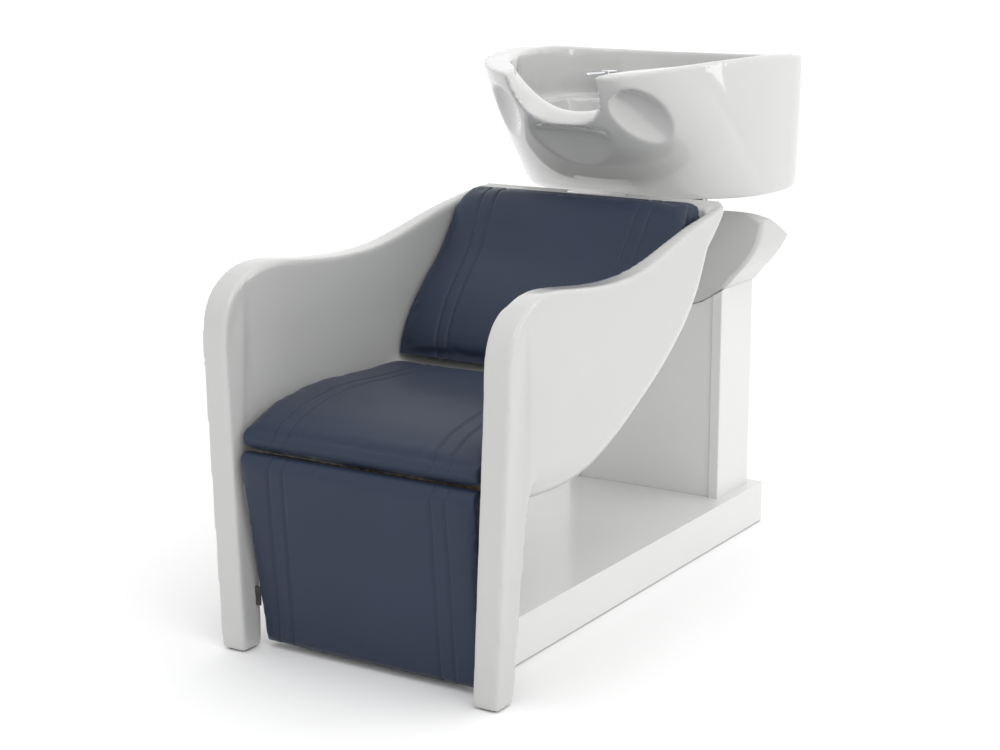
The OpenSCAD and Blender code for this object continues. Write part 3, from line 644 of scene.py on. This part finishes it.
def make_housing():
    fillet = 12.0
    rows = []
    for a in np.radians(np.arange(0, 91, 15)):
        rows.append(drum_ring(COLUMN_FRONT + fillet * (1 - math.sin(a)), fillet * (1 - math.cos(a))))
    rows = rows[::-1]
    rows += [drum_ring(y, 0) for y in (1060, 1090, 1120, 1150)]
    for a in np.radians(np.arange(0, 91, 15)):
        rows.append(drum_ring(COLUMN_REAR - 4 * (1 - math.sin(a)), 4 * (1 - math.cos(a))))
    body = loft("tilt_housing_visual", rows)
    boolean(body, above_roof("roof", 0))
    inside = loft("inside", [drum_ring(1034, 5), drum_ring(1169, 5)])
    boolean(inside, above_roof("roof", 4))
    boolean(body, inside)
    boolean(body, cutter("lid_hole", (-199, 1036, 600), (199, 1167, 760)))
    boolean(body, cutter("pipes", (-72, 1058, 400), (72, 1140, 520)))
    for s in (1, -1):
        x = sorted((s * 106, s * 150))
        boolean(body, cutter("post", (x[0], 1078, 400), (x[1], 1122, 560)))
    bevel(body, 1.2, 2, 40)
    n = body.modifiers.new("normals", "WEIGHTED_NORMAL")
    n.keep_sharp = False
    paint(body, "white_moulding")
    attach(body, "base")
    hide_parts("tilt_housing")


# ---------- upholstery ----------
SEAT_TOP = [(8, 384), (14, 398), (40, 409), (80, 424), (124, 433), (180, 440), (235, 441), (300, 437),
            (370, 434), (430, 434), (476, 434)]
SEAT_UNDER = [(486, 420), (440, 394), (385, 374), (330, 364), (270, 361), (150, 361), (60, 361), (16, 365)]
BACK_FACE = [(500, 445), (512, 480), (530, 510), (556, 543), (592, 577), (638, 617), (668, 653),
             (694, 690), (716, 716), (740, 733), (762, 737)]


def shrink(outline, amount):
    """Closed [y, z] outline moved inwards, for a pad that is about to be inflated."""
    q = np.asarray(outline, float)
    area = 0.5 * np.sum(q[:, 0] * np.roll(q[:, 1], -1) - np.roll(q[:, 0], -1) * q[:, 1])
    d = np.roll(q, -1, 0) - np.roll(q, 1, 0)
    d /= np.linalg.norm(d, axis=1)[:, None]
    n = np.stack([-d[:, 1], d[:, 0]], 1) * (1 if area > 0 else -1)
    return q + n * amount


def inflate(o, voxel, cap, pressure=4.0):
    """Fills the pad with air by cloth simulation, each point moving at most cap millimetres."""
    remesh(o, voxel, 3)
    rest = coords(o.data)
    m = o.modifiers.new("cloth", "CLOTH")
    s = m.settings
    s.quality = 5
    s.mass = 0.3
    s.use_pressure = True
    s.uniform_pressure_force = pressure
    s.effector_weights.gravity = 0
    m.point_cache.frame_start, m.point_cache.frame_end = 1, 20
    for f in range(1, 21):
        scene.frame_set(f)
    dg = bpy.context.evaluated_depsgraph_get()
    moved = coords(o.evaluated_get(dg).data)
    o.modifiers.remove(m)
    n = normals(o.data)
    out = np.sum((moved - rest) * n, axis=1) / (cap * MM)
    # The filling holds the edges out, so the cover only crowns
    set_coords(o.data, rest + n * (np.tanh(np.clip(out, -0.12, 4)) * cap * MM)[:, None])
    scene.frame_set(1)
    sub = o.modifiers.new("subdivision", "SUBSURF")
    sub.levels = sub.render_levels = 1
    return bake(o)


def groove(o, lines, facing, depth=2.4, width=2.8):
    """Presses stitched channels into the pad. Each line gives x from y and z."""
    v, n = coords(o.data), normals(o.data)
    shown = clamp01((n @ np.asarray(facing) - 0.05) / 0.3)
    push = np.zeros(len(v))
    for line in lines:
        d = (v[:, 0] / MM - line(v[:, 1] / MM + MID_Y, v[:, 2] / MM)) / width
        push = np.maximum(push, np.exp(-d * d))
    set_coords(o.data, v - n * (push * shown * depth * MM)[:, None])


def capsule():
    rings = []
    for s, r in ((-1.9, 0.12), (-1.4, 0.36), (0.0, 0.46), (1.4, 0.36), (1.9, 0.12)):
        a = np.linspace(0, 2 * math.pi, 6, endpoint=False)
        rings.append(np.stack([np.full(6, s), r * np.cos(a), r * np.sin(a)], 1))
    faces = [(j * 6 + i, j * 6 + (i + 1) % 6, (j + 1) * 6 + (i + 1) % 6, (j + 1) * 6 + i)
             for j in range(4) for i in range(6)] + [(5, 4, 3, 2, 1, 0), (24, 25, 26, 27, 28, 29)]
    return np.concatenate(rings), faces


def stitches(name, pad, profile, lines, offset, pitch=5.4):
    """Rows of thread laid on the pad beside each channel."""
    dg = bpy.context.evaluated_depsgraph_get()
    tree = BVHTree.FromObject(pad, dg)
    path = resample(profile, 2.0)
    d = np.gradient(path, axis=0)
    d /= np.linalg.norm(d, axis=1)[:, None]
    out = np.stack([-d[:, 1], d[:, 0]], 1)
    shape, template = capsule()
    verts, faces = [], []
    for line in lines:
        side = -offset if line(450.0, 450.0) < 0 else offset
        hits = []
        for p, n in zip(path, out):
            x = float(line(p[0], p[1])) + side
            start = Vector((x, p[0] + n[0] * 45 - MID_Y, p[1] + n[1] * 45)) * MM
            got = tree.ray_cast(start, Vector((0, -n[0], -n[1])), 0.09)
            if got[0] is not None:
                hits.append((np.array(got[0]), np.array(got[1])))
        if len(hits) < 4:
            continue
        pts = np.array([h[0] for h in hits])
        nor = np.array([h[1] for h in hits])
        s = np.concatenate([[0], np.cumsum(np.linalg.norm(np.diff(pts, axis=0), axis=1))]) / MM
        for want in np.arange(4, s[-1] - 4, pitch):
            at = np.array([np.interp(want, s, pts[:, k]) for k in range(3)])
            ahead = np.array([np.interp(want + 1.5, s, pts[:, k]) for k in range(3)])
            n = np.array([np.interp(want, s, nor[:, k]) for k in range(3)])
            t = ahead - at
            t /= np.linalg.norm(t)
            n -= t * (n @ t)
            n /= np.linalg.norm(n)
            b = np.cross(n, t)
            local = (shape[:, 0:1] * t + shape[:, 1:2] * b + shape[:, 2:3] * n) * MM + at + n * 0.1 * MM
            base = len(verts) * len(shape)
            verts.append(local)
            faces += [tuple(base + i for i in f) for f in template]
    v = np.concatenate(verts) / MM + [0, MID_Y, 0]
    o = new_mesh(name, v, faces)
    paint(o, "thread")
    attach(o, "base")


def straight(x0, x1, t0, t1, k):
    """Channel whose x runs from x0 to x1 as y (k 0) or z (k 1) runs from t0 to t1."""
    return lambda y, z: mix(x0, x1, clamp01(((y, z)[k] - t0) / (t1 - t0)))


def finish_pad(o, node):
    paint(o, "leatherette")
    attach(o, "base")
    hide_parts(node)


def seat_w(y):
    return mix(237.0, 246.0, clamp01(y / 300))


def make_seat():
    outline = shrink(np.concatenate([resample(SEAT_TOP, 10), resample(SEAT_UNDER, 10)]), 3)
    o = slab("seat_cushion_visual", outline, lambda y, z: -seat_w(y), lambda y, z: seat_w(y))
    bevel(o, 12, 4, 50)
    bake(o)
    inflate(o, 5.0, 9)
    lines = [straight(-170, -160, 0, 480, 0), straight(-142, -138, 0, 480, 0),
             straight(150, 140, 0, 480, 0), straight(183, 168, 0, 480, 0)]
    groove(o, lines, (0, -0.45, 0.9))
    finish_pad(o, "seat_cushion")
    stitches("seat_stitching", o, SEAT_TOP, lines, 3.0)


def back_w(z):
    t = clamp01((z - 695) / 44)
    return 252 - 38 * (1 - np.sqrt(1 - t * t))


def make_back():
    u = np.linspace(0.93, 0.46, 60)
    rear = cr(UNDER, u) + side_of(UNDER, u) * 36
    outline = shrink(np.concatenate([resample(BACK_FACE, 10), rear]), 3)
    o = slab("back_cushion_visual", outline, lambda y, z: -back_w(z), lambda y, z: back_w(z))
    bevel(o, 12, 4, 50)
    bake(o)
    inflate(o, 5.0, 8)
    lines = [straight(-163, -196, 445, 735, 1), straight(-140, -166, 445, 735, 1),
             straight(140, 148, 445, 735, 1), straight(163, 177, 445, 735, 1)]
    groove(o, lines, (0, -0.8, 0.6))
    finish_pad(o, "back_cushion")
    stitches("back_stitching", o, BACK_FACE, lines, 3.0)


def make_panel():
    front = [(52, 8), (49, 30), (27, 180), (9, 300), (3, 345), (6, 358), (14, 363)]
    rear = [(32, 362), (40, 345), (61, 200), (86, 30), (88, 10), (70, 6)]
    outline = shrink(np.concatenate([resample(front, 8), resample(rear, 8)]), 2)
    o = slab("front_panel_visual", outline,
             lambda y, z: -mix(228, 237, clamp01(z / 360)), lambda y, z: mix(228, 237, clamp01(z / 360)))
    bevel(o, 9, 4, 50)
    bake(o)
    inflate(o, 5.0, 6)
    lines = [straight(-193, -170, 10, 360, 1), straight(-161, -140, 10, 360, 1),
             straight(143, 157, 10, 360, 1), straight(173, 185, 10, 360, 1)]
    groove(o, lines, (0, -1, 0.1))
    finish_pad(o, "front_panel")
    stitches("panel_stitching", o, front[::-1], lines, 3.0)


def make_tag():
    """Folded woven tag sewn in the left edge of the front panel."""
    z0, z1 = 78.0, 112.0
    path = [(-226, 0), (-233, -1.2), (-243, -1.6), (-249, -0.9), (-250.5, 0), (-249, 0.9), (-243, 1.6),
            (-233, 1.2), (-226, 0.4)]
    mid = resample(path, 1.2)
    y0 = 41.0
    rows = []
    for z in np.linspace(z0, z1, 14):
        wave = 0.5 * math.sin((z - z0) / 9)
        rows.append(np.stack([mid[:, 0], y0 + mid[:, 1] + wave, np.full(len(mid), z)], 1))
    n, m = len(mid), len(rows)
    faces = [(j * n + i, j * n + i + 1, (j + 1) * n + i + 1, (j + 1) * n + i)
             for j in range(m - 1) for i in range(n - 1)]
    o = new_mesh("label_tag_visual", np.concatenate(rows), faces)
    s = o.modifiers.new("thickness", "SOLIDIFY")
    s.thickness = 0.5 * MM
    bake(o)
    paint(o, "tag_fabric")
    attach(o, "base")
    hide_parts("label_tag")


# ---------- everything ----------
make_camera()
scene.view_settings.view_transform = "Standard"
world = bpy.data.worlds.new("world")
world.use_nodes = True
studio_world(world.node_tree)
scene.world = world
sun_light("key", (0.45, 0.05, 0.89), 0.32, 70)
area_light("right_softbox", (2.6, 1.6, 1.3), (0, 0.3, 0.6), (0.5, 2.2), 7)
area_light("seat_softbox", (1.3, -1.6, 2.6), (-0.1, -0.25, 0.45), (1.4, 1.4), 10)

make_shell()
make_basin()
make_housing()
make_seat()
make_back()
make_panel()
make_tag()

slot_of = {s["node"]: s["material_slot"] for s in frame["record"]["subparts"]}
EDGE = {"plinth_cover": 2.0, "column_cheek_left": 2.0, "column_cheek_right": 2.0,
        "column_front_panel": 0.8, "column_rear_panel": 0.8, "housing_lid": 1.0, "mixer_body": 0.8,
        "mixer_cap": 1.0, "mixer_lever": 0.3, "spray_socket": 0.6, "hand_spray": 0.8, "waste_flange": 0.5,
        "strainer": 0.4, "mixer_nut": 0.5, "waste_nut": 0.5, "mixer_turret": 0.4,
        "base_rails": 1.0, "base_crossbars": 1.0, "tilt_head": 0.6, "basin_cradle": 0.6, "tilt_ears": 0.5,
        "seat_board": 0.8, "back_board": 0.8, "front_board": 0.8, "levelling_feet": 0.5}
for name in nodes:
    mat = slot_of[name]
    # Parts in the white moulding get its brighter copy: painted light for the base parts in the chair's
    # shade
    if mat == "white_moulding":
        mat = "white_moulding_painted_lighter"
    keep_node(name, mat, EDGE.get(name, 0.0))

floor = new_mesh("floor", [(x, y + MID_Y, 0) for x, y in
                           ((-9e4, -9e4), (9e4, -9e4), (9e4, 9e4), (-9e4, 9e4))], [(0, 1, 2, 3)])
paint(floor, "floor")
